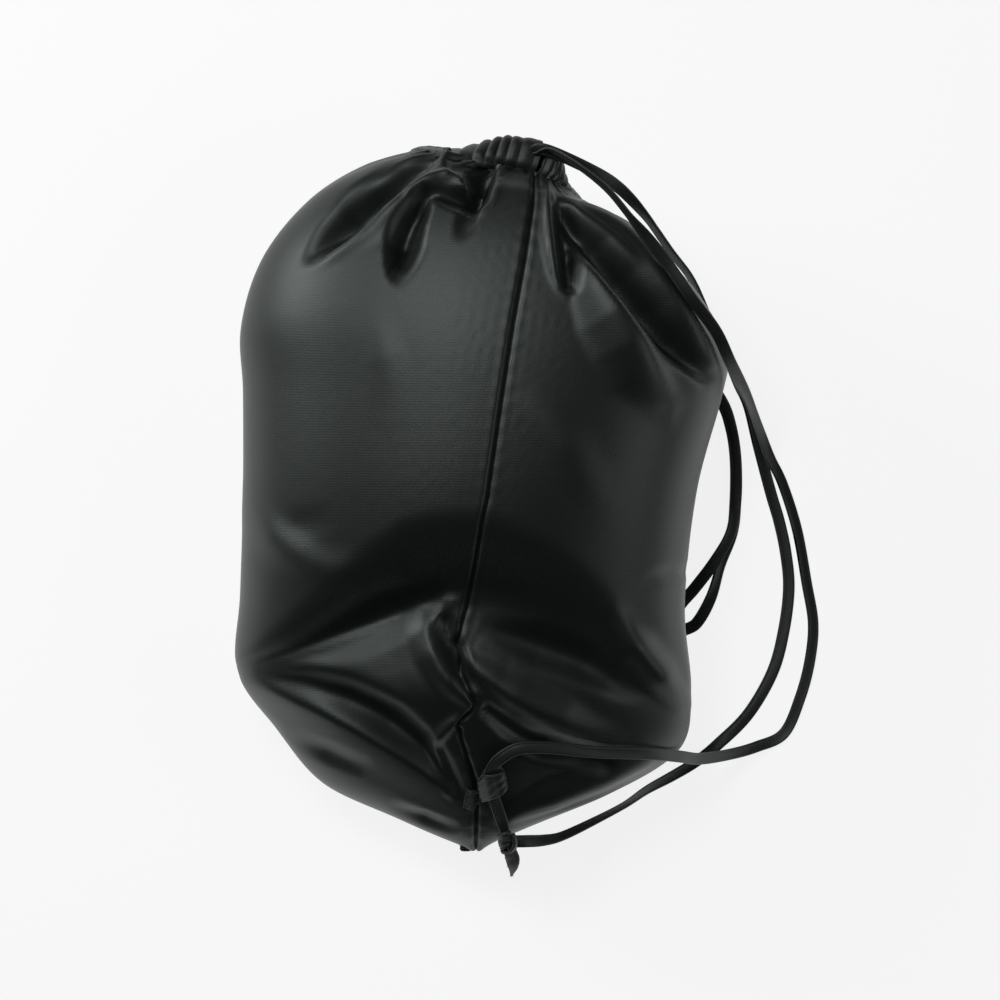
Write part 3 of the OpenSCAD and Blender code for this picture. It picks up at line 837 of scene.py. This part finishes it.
def add_seam_strip(name, column):
    """The seam allowance inside the bag, under the join of the two panels."""
    rows = np.arange(4, FINE_ROWS - 14, 2)  # short of the bottom seam and of the casings
    normals = grid_normals(bag)
    middle = bag[rows, column] - normals[rows, column] * 1.9 * MM
    heading = headings(middle)
    across = unit(np.cross(normals[rows, column], heading))
    wave = np.sin(np.arange(len(rows)) * 0.9)[:, None]
    lines = []
    for out, sink in ((-4.0, 1.5), (-2.0, 0.5), (-0.6, 0.0), (0.6, 0.0), (2.0, 0.5), (4.0, 1.5)):
        fall = sink + 0.25 * wave * abs(out) / 4
        lines.append(middle + across * out * MM - normals[rows, column] * fall * MM)
    grid = np.array(lines).transpose(1, 0, 2)
    keep_above(grid, (FINE_LOWEST + 1.0) * MM)
    faces = grid_faces(*grid.shape[:2], flip=True)
    obj = add_mesh(name + "_cloth", grid, faces, EDGE_CLOTH)
    thicken(obj, 0.9 * MM)
    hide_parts(name)
    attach(obj, "bag")


add_seam_strip("right_side_seam", 0)
add_seam_strip("left_side_seam", FINE_HALF)


def add_swept(name, points, material, node, body):
    """A solid through rows of closed loops, in millimetres."""
    keep_above(points, CORD_LOWEST)
    obj = add_mesh(name, points * MM, tube_faces(*points.shape[:2]), material)
    work = bmesh.new()
    work.from_mesh(obj.data)
    bmesh.ops.recalc_face_normals(work, faces=work.faces)
    work.to_mesh(obj.data)
    work.free()
    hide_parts(node)
    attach(obj, body)
    return obj


def rounded_section(width, thick):
    """A closed outline between an ellipse and a box."""
    angle = np.linspace(0.0, 2 * math.pi, 20, endpoint=False)
    corner = np.stack([np.cos(angle), np.sin(angle)], axis=1)
    return np.sign(corner) * np.abs(corner) ** (2 / 2.6) * (width / 2, thick / 2)


def add_bottom_seam():
    """The folded cloth along the bottom, closing the bag between its two bottom corners."""
    top, low = STATIONS[0][2], STATIONS[0][3]
    line = curve_through([top + (-1, 1.5, -3), (-10, -210.5, 43), low + (0, 1.0, 4)], 2.0)
    heading = headings(line)
    across = np.array([1.0, 0.0, 0.0])
    over = np.cross(heading, across)
    share = even_shares(len(line))
    size = 0.75 + 0.25 * np.sin(math.pi * share) + 0.06 * np.sin(31 * share)
    section = rounded_section(9.0, 3.6)[None] * size[:, None, None]
    points = sweep(line, across, over, section)
    add_swept("bottom_seam_cloth", points, EDGE_CLOTH, "bottom_seam", "bag")


add_bottom_seam()


# ---- Tabs, knots and tails ----

TAB_W = 14.0
EYE_Z = 4.5  # out of the bag, to the middle of the eye that the cord runs in
LEAD_X = 12.6  # the lead's reach from the seam, as in part.scad
KNOT_Y = -35.0  # where the lead ends and the knot begins


def turn_about(axis, degrees):
    return np.array(Matrix.Rotation(math.radians(degrees), 3, axis))


class Tab:
    """A tab's own place: x is its reach, y runs along the seam and z is out of the bag."""

    def __init__(self, side, at, turned, body):
        self.side, self.at, self.turned, self.body = side, np.array(at, float), turned, body

    def world(self, points):
        return self.at + np.asarray(points, float) @ self.turned.T


MIRROR_Y = np.diag([1.0, -1.0, 1.0])
RIGHT_TAB = Tab("right", (-3, -174, 94), turn_about("X", 30) @ turn_about("Z", 10), "right_knot_end")
LEFT_TURN = turn_about("X", 150) @ turn_about("Z", 90) @ MIRROR_Y
LEFT_TAB = Tab("left", (-1, -186, 10), LEFT_TURN, "left_knot_end")


def tab_slant(x, column):
    """How far along the seam the tab leans at x, because its cord pulls it aside. Its edge
    nearer the mouth, at column 1, leans first."""
    lower = -2.2 + 7.4 * x / 16.0
    upper = -2.0 + 6.4 * smooth_step(x / 6.5) + 0.6 * x / 16.0
    return lower + (upper - lower) * (np.asarray(column) + 1.0) / 2.0


def add_tab(tab):
    """A strip of folded cloth: out from the seam, round the cord and back over itself."""
    loop = [
        (0.2, 0.7), (3.0, 0.7), (9.0, 0.6), (13.6, 0.7), (16.2, 2.0), (17.2, 4.4), (16.3, 6.9),
        (13.7, 8.2), (10.5, 8.0), (6.5, 7.0), (3.0, 5.2), (0.8, 3.2), (0.2, 2.4),
    ]
    way = curve_through([(x, 0.0, z) for x, z in loop], 0.8)
    heading = headings(way)
    out = np.cross(heading, np.array([0.0, 1.0, 0.0]))
    columns = np.linspace(-1.0, 1.0, 29)
    rows = []
    for face in (-1.0, 1.0):
        for k in range(len(way)) if face < 0 else range(len(way) - 1, -1, -1):
            y = columns * TAB_W / 2
            x_share = k / (len(way) - 1)
            edge = 1.0 - 0.55 * np.abs(columns) ** 10
            groove = -0.32 * np.exp(-((np.abs(columns) - 0.80) / 0.05) ** 2)
            ripple = 0.18 * np.sin(9.0 * columns + 20.0 * x_share) + 0.10 * np.sin(37.0 * x_share)
            half = 0.55 * edge + groove
            points = way[k][None, :] + out[k][None, :] * (face * half + ripple)[:, None]
            points[:, 1] = y + tab_slant(way[k][0], columns) + 0.3 * np.sin(11.0 * x_share)
            rows.append(points)
    grid = np.array(rows)
    grid = np.concatenate([grid, grid[:1]], axis=0)
    points = tab.world(grid).transpose(1, 0, 2)[:, :-1]
    add_swept(f"{tab.side}_tab_cloth", points, EDGE_CLOTH, f"{tab.side}_tab", "bag")

    lines = []
    for edge in (-1, 1):
        top = way[len(way) // 2 + 2 :] + out[len(way) // 2 + 2 :] * 0.42
        top[:, 1] = edge * TAB_W * 0.40 + tab_slant(top[:, 0], edge * 0.8)
        for k in range(0, len(top) - 3, 3):
            lines.append(tab.world(top[k : k + 3]))
    add_stitches(f"{tab.side}_tab_edge_stitches", lines, 0.20, f"{tab.side}_tab")


CLOTH_TREE = KDTree(bag.shape[0] * bag.shape[1])
for k, point in enumerate(bag.reshape(-1, 3)):
    CLOTH_TREE.insert(point, k)
CLOTH_TREE.balance()
CLOTH_NORMALS = grid_normals(bag).reshape(-1, 3)


def on_cloth(points, above):
    """The points, in millimetres, moved onto the bag's cloth and out from it by above."""
    placed = []
    for p in np.asarray(points, float):
        found = CLOTH_TREE.find_n(Vector(p * MM), 4)
        weight = np.array([1.0 / (distance + 1e-5) for _, _, distance in found])
        normal = unit((CLOTH_NORMALS[[k for _, k, _ in found]] * weight[:, None]).sum(axis=0))
        at = (np.array([tuple(co) for co, _, _ in found]) * weight[:, None]).sum(axis=0) / weight.sum() / MM
        placed.append(p + normal * (above - (p - at) @ normal))
    return np.array(placed)


ZIGZAG_CORNERS = 19
BARTACK_LENGTH = 13.5
BARTACK_HALF = 3.6  # half its width


def add_bartack(tab, middle, turn):
    """The close zig-zag of thread that holds the tab down, with a row of thread on each side."""
    rng = random.Random(7)
    frame_turn = turn_about("Z", turn)
    corners = []
    for k in range(ZIGZAG_CORNERS):
        y = (k / (ZIGZAG_CORNERS - 1) - 0.5) * BARTACK_LENGTH
        x = (-BARTACK_HALF if k % 2 else BARTACK_HALF) + rng.uniform(-0.4, 0.4)
        corners.append((x, y + rng.uniform(-0.2, 0.2), 0.0))
    zigzag = []
    height = []
    for a, b in zip(corners, corners[1:]):
        for t in np.linspace(0.0, 1.0, 6, endpoint=False):
            zigzag.append(np.array(a) + (np.array(b) - np.array(a)) * t)
            height.append(0.15 + 0.4 * math.sin(math.pi * t))
    rows = [np.array(zigzag)]
    lifts = [np.array(height)[:, None]]
    for x in (-3.8, 3.8):
        y = np.linspace(-7.0, 7.0, 60)
        rows.append(np.stack([x + 0.15 * np.sin(3 * y), y, 0 * y], axis=1))
        lifts.append((0.1 + 0.3 * np.abs(np.sin(2.2 * y)))[:, None])
    lines = []
    for row, lift in zip(rows, lifts):
        flat = tab.world(row @ frame_turn.T + middle)
        placed = on_cloth(flat, 0.0)
        out = unit(on_cloth(placed, 1.0) - placed)
        lines.append(placed + out * lift)
    add_stitches(f"{tab.side}_tab_stitching_threads", lines, 0.40, f"{tab.side}_tab_stitching")


def add_knot_piece(tab, part, points):
    node = f"{tab.side}_knot"
    add_swept(f"{node}_{part}", tab.world(points), CORD_CLOTH, node, tab.body)


def add_knot(tab):
    """The cord's lead through the tab's eye and its pulled overhand knot, in the tab's place."""
    z = EYE_Z
    lead_route = [
        (LEAD_X - 6.0, 10.5, z), (LEAD_X - 5.6, 4.0, z - 0.2), (LEAD_X - 5.0, -3.0, z),
        (LEAD_X - 4.2, -11.0, z), (LEAD_X - 3.4, -19.0, z + 0.2), (LEAD_X - 2.6, -27.0, z),
        (LEAD_X - 2.4, -34.5, z - 0.2),
    ]
    lead = curve_through(lead_route, 1.0)
    share = even_shares(len(lead))
    roll = 0.16 * np.sin(9.0 * share) - 0.45 * smooth_step((share - 0.55) / 0.45)
    wide = 7.4 - 1.6 * smooth_step((share - 0.7) / 0.3)
    thick = 1.7 + 1.0 * smooth_step((share - 0.75) / 0.25)
    across = np.stack([np.cos(roll), 0 * roll, np.sin(roll)], axis=1)
    over = np.stack([-np.sin(roll), 0 * roll, np.cos(roll)], axis=1)
    section = np.array([cord_section(w, t) for w, t in zip(wide, thick)])
    add_knot_piece(tab, "lead", sweep(lead, across, over, section))
    stitches = [
        tab.world((lead + across * -2.15 + over * (thick[:, None] * 0.36))[k : k + 3])
        for k in range(2, len(lead) - 4, 3)
    ]
    add_stitches(f"{tab.side}_knot_lead_stitches", stitches, 0.2, f"{tab.side}_knot", tab.body)

    middle = np.array([LEAD_X - 2.4, KNOT_Y - 4.5, z])
    turn = even_shares(150)
    angle = 2 * math.pi * (0.1 + 2.15 * turn)
    radius = 2.7 + 0.5 * np.sin(math.pi * turn)
    coil = np.stack([
        radius * 1.25 * np.cos(angle), 5.2 - 9.8 * turn + 1.8 * np.sin(angle), radius * 1.0 * np.sin(angle),
    ], axis=1)
    heading = headings(coil)
    outward = unit(coil * np.array([1.0, 0.0, 1.0]))
    wide_way = unit(np.cross(heading, outward))
    ridge = 1.0 + 0.10 * np.sin(34.0 * turn)
    section = cord_section(5.6, 3.0)[None] * ridge[:, None, None]
    add_knot_piece(tab, "coil", sweep(middle + coil, wide_way, np.cross(wide_way, heading), section))

    cross_route = [
        (4.0, 6.4, 1.6), (5.2, 3.0, 2.8), (4.4, -0.9, 3.8), (1.4, -4.4, 3.6), (-2.4, -6.2, 1.4),
        (-3.6, -6.4, -1.4),
    ]
    cross_over = curve_through(cross_route, 0.5)
    heading = headings(cross_over)
    outward = unit(cross_over)
    wide_way = unit(np.cross(heading, outward))
    points = sweep(middle + cross_over, wide_way, np.cross(wide_way, heading), cord_section(3.6, 2.2))
    add_knot_piece(tab, "cross", points)


def add_tail(name, line, width, node, body, seed):
    """A cut cord's end: a flat strip that narrows to a frayed tip."""
    rng = random.Random(seed)
    line = curve_through(line, 0.8)
    heading = headings(line)
    across = unit(np.cross(np.array([0.1, 0.2, 1.0]), heading))
    over = np.cross(heading, across)
    share = even_shares(len(line))
    wide = width * (0.8 + 0.35 * np.sin(math.pi * share) - 0.62 * smooth_step((share - 0.45) / 0.55))
    ragged = np.array([rng.uniform(-0.25, 0.25) for _ in share])
    section = np.array([cord_section(w + r, 1.7) for w, r in zip(wide, ragged)])
    points = sweep(line, across, over, section)
    add_swept(name + "_strip", points, CORD_CLOTH, node, body)
    threads = []
    for _ in range(9):
        start = line[-1] + across[-1] * rng.uniform(-0.9, 0.9) - heading[-1] * 1.2
        bend = across[-1] * rng.uniform(-0.8, 0.8) + over[-1] * rng.uniform(-0.5, 0.5)
        reach = rng.uniform(1.6, 3.0)
        threads.append([start + heading[-1] * reach * t + bend * t * t for t in (0.0, 0.35, 0.7, 1.0)])
    fray = add_stitches(name + "_fray", threads, 0.16, node, body)


for tab in (RIGHT_TAB, LEFT_TAB):
    add_tab(tab)
    add_knot(tab)
add_bartack(RIGHT_TAB, (-6.0, -9.0, 0.0), -22)
add_bartack(LEFT_TAB, (-1.2, 0.0, 0.0), 0)
for name, route, width, node, body, seed in (
    ("right_tail", [(13, -208, 80), (15, -213, 77), (17, -218, 73), (17.5, -224, 68), (16.5, -230, 60)],
     7.4, "right_cord_tails", "right_knot_end", 3),
    ("right_tail_under", [(13, -209, 77), (15, -214, 72), (15.5, -220, 64), (15, -225, 56)],
     5.6, "right_cord_tails", "right_knot_end", 5),
    ("left_tail", [(-40, -198, 12), (-44, -197, 11), (-50, -193, 8), (-57, -189, 4)],
     6.4, "left_cord_tails", "left_knot_end", 9),
):
    add_tail(name, route, width, node, body, seed)


# ---- The cords in the casing and under the left tab, and the straps ----


def add_casing_run(name, first, depth):
    """The cord inside the casings: first is the share of a panel that it starts and ends at."""
    share = np.linspace(0.02, 1.0, 60)
    share = share if first == 0 else 1.0 - share
    turn = np.concatenate([share_round(-1, share), share_round(1, share)[::-1]])
    line = mouth_point(turn, depth, CORD_RISE)
    heading = headings(line)
    over = np.cross(heading, MOUTH_AXIS)
    waver = 0.3 * np.sin(np.arange(len(line)) * 0.8)[:, None]
    points = sweep(line + over * waver, MOUTH_AXIS, over, cord_section(7.4, 1.5))
    add_swept(name + "_cloth", points, CORD_CLOTH, name, "bag")


add_casing_run("right_cord_casing_run", 0, 3.15)
add_casing_run("left_cord_casing_run", 1, 5.85)

under_tab = curve_through(np.array(LEFT_UNDER_TAB_ROUTE) * MM, 1.25 * MM)
piece = add_strap("left_cord_under_tab_cloth", under_tab, lambda share: 0.0)
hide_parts("left_cord_under_tab")
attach(piece, "bag")

# Each strap's part from model.glb is hidden, and the strap's placement is baked into its mesh.
for name, (strap, line) in STRAPS.items():
    body = name.split("_")[0] + "_strap"
    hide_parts(name)
    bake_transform(strap)


# ---- Floor and light ----


def add_light(name, place, target, size, power):
    data = bpy.data.lights.new(name, "AREA")
    data.size = size
    data.energy = power
    lamp = bpy.data.objects.new(name, data)
    lamp.location = place
    lamp.rotation_euler = (Vector(target) - Vector(place)).to_track_quat("-Z", "Y").to_euler()
    scene.collection.objects.link(lamp)


def add_floor():
    mesh = bpy.data.meshes.new("floor")
    r = 4.0
    mesh.from_pydata([(-r, -r, 0), (r, -r, 0), (r, r, 0), (-r, r, 0)], [], [(0, 1, 2, 3)])
    floor = bpy.data.objects.new("floor", mesh)
    mat = bpy.data.materials.new("floor")
    mat.use_nodes = True
    set_inputs(mat.node_tree.nodes["Principled BSDF"], {
        "Base Color": (0.25, 0.25, 0.25, 1.0),
        "Roughness": 1.0,
        "Specular IOR Level": 0.0,
        "Emission Color": (1.0, 1.0, 1.0, 1.0),
        "Emission Strength": 0.845,
    })
    mesh.materials.append(mat)
    scene.collection.objects.link(floor)


add_floor()
add_light("key", (-0.50, 0.80, 1.90), (0, 0, 0.05), 0.6, 9.5)
add_light("left", (-1.40, 0.80, 0.72), (-0.08, 0.08, 0.05), 0.6, 9.5)
add_light("right", (1.60, -0.20, 1.20), (0, 0, 0.05), 0.8, 3.2)

world = bpy.data.worlds.new("studio")
world.use_nodes = True
set_inputs(world.node_tree.nodes["Background"], {"Color": (1.0, 1.0, 1.0, 1.0), "Strength": 0.02})
scene.world = world
scene.view_settings.view_transform = "Standard"
